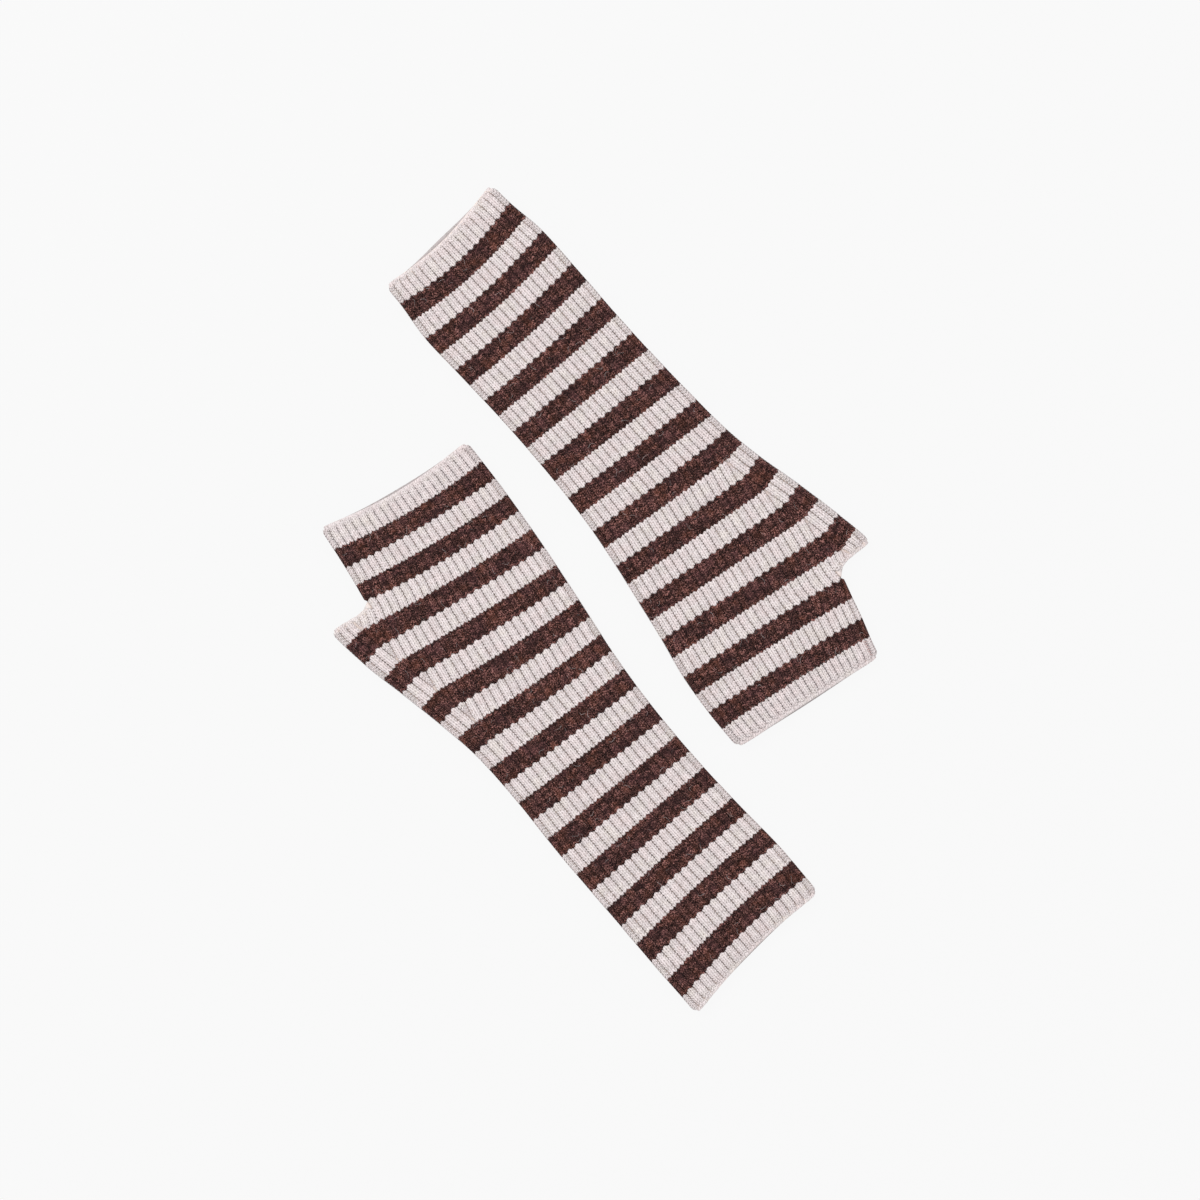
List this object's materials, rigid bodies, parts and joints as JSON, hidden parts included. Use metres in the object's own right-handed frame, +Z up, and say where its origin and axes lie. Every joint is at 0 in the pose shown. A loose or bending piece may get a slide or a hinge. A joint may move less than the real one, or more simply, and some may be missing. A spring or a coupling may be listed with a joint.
{
  "type": "pair of wrist warmers",
  "caption": "Pair of striped rib-knit wool wrist warmers laid flat head to tail, each an open tube with a thumb gusset, an open thumb mouth and a cream band at each end.",
  "frame": {"origin": "on the surface that the pair lies on, under the middle of the box round both wrist warmers", "axes": "+Z up out of the surface, +Y along the longer side of the box, towards the upper wrist warmer's arm end, +X to the right of someone who looks down on the pair with +Y away from them"},
  "size_m": [0.2606, 0.3878, 0.006],
  "materials": {
    "striped_wool": "heathered wool, rib knit in even stripes of cream and dark brown, matt and slightly fuzzy",
    "cream_wool": "heathered cream wool, rib knit, matt and slightly fuzzy"
  },
  "bodies": {
    "root": {"upper_tube": "striped_wool", "upper_hand_band": "cream_wool", "lower_tube": "striped_wool", "lower_hand_band": "cream_wool"}
  },
  "joints": []
}
